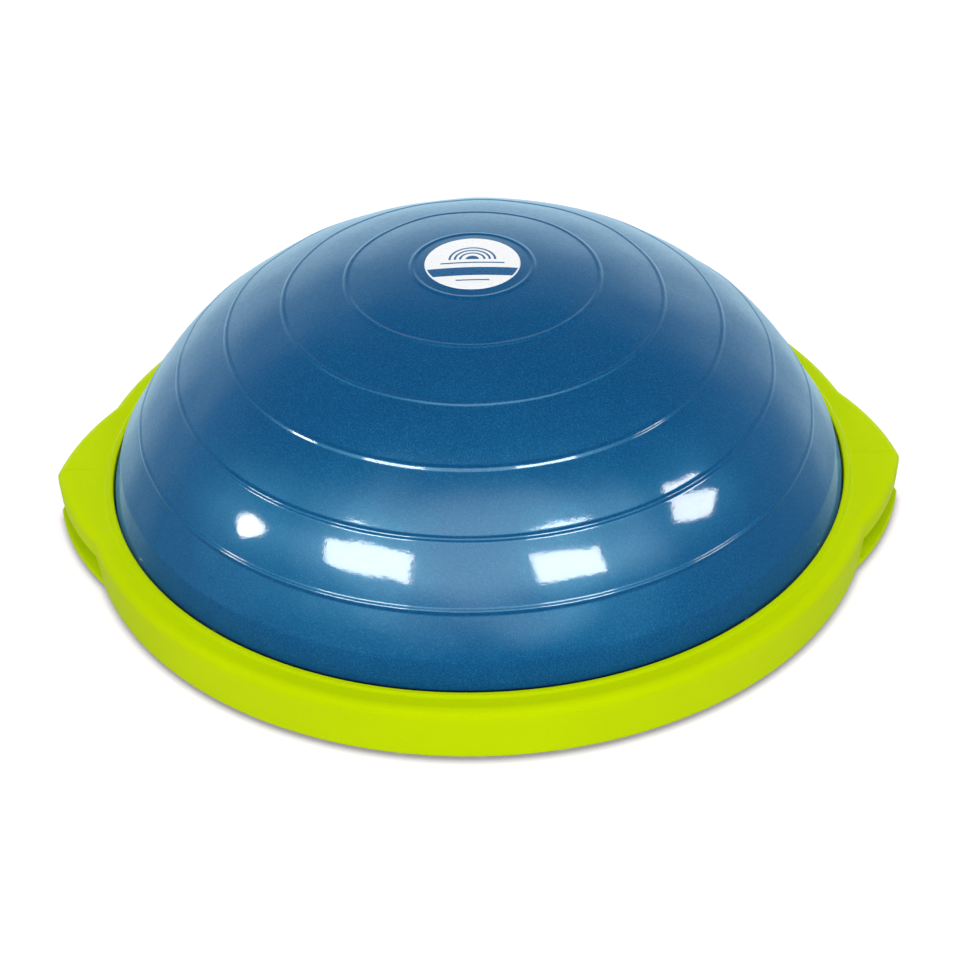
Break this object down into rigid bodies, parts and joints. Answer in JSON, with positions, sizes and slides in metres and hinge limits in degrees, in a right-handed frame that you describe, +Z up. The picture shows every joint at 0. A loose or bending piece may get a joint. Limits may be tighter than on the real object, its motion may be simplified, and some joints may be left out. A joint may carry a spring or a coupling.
{
  "type": "balance dome trainer",
  "caption": "Inflated half-ball with moulded rings, clamped into a round platform that has two wing grips, rubber feet and a valve plug underneath.",
  "frame": {"origin": "on the floor plane, on the dome's axis, at the centre of the object's footprint", "axes": "+Z up along the dome's axis; +X towards the tip of one wing grip, the other wing is on -X; the valve is on the -Y side"},
  "size_m": [0.58, 0.5378, 0.2007],
  "materials": {
    "blue_vinyl": "flexible vinyl with a pearl sheen and a fine pebbled grain",
    "label_print": "printed film label, white with a plain blue band",
    "lime_plastic": "moulded lime plastic with a fine satin texture",
    "lime_plastic_base": "moulded lime plastic with a non-slip texture below",
    "grey_plastic": "plain moulded plastic, hidden",
    "black_nylon": "glass-filled nylon, hidden",
    "black_rubber": "soft black rubber",
    "white_plastic": "smooth white plastic",
    "zinc_steel": "zinc-plated steel",
    "foot_rubber": "matt black rubber with a fine grain"
  },
  "bodies": {
    "platform": {"platform_rim": "lime_plastic", "platform_base": "lime_plastic_base", "support_deck": "grey_plastic", "clamp_ring": "black_nylon", "clamp_screws": "zinc_steel", "rim_screws": "zinc_steel", "deck_screws": "zinc_steel", "bladder_bead": "blue_vinyl", "dome_diaphragm": "blue_vinyl", "valve_collar": "black_rubber", "foot_1": "foot_rubber", "foot_2": "foot_rubber", "foot_3": "foot_rubber", "foot_4": "foot_rubber", "foot_5": "foot_rubber", "foot_6": "foot_rubber", "foot_7": "foot_rubber", "foot_8": "foot_rubber"},
    "dome": {"dome_skin": "blue_vinyl", "top_label": "label_print"},
    "plug": {"valve_plug": "white_plastic"}
  },
  "joints": [
    {"name": "dome_press", "type": "slide", "parent": "platform", "child": "dome", "axis": [0, 0, -1], "range_m": [0, 0.06], "stiffness_N_per_m": 10000, "springref_m": -0.004, "deforming": ["dome_skin"]},
    {"name": "plug_pull", "type": "slide", "parent": "platform", "child": "plug", "axis": [0, 0, -1], "range_m": [0, 0.025]}
  ]
}
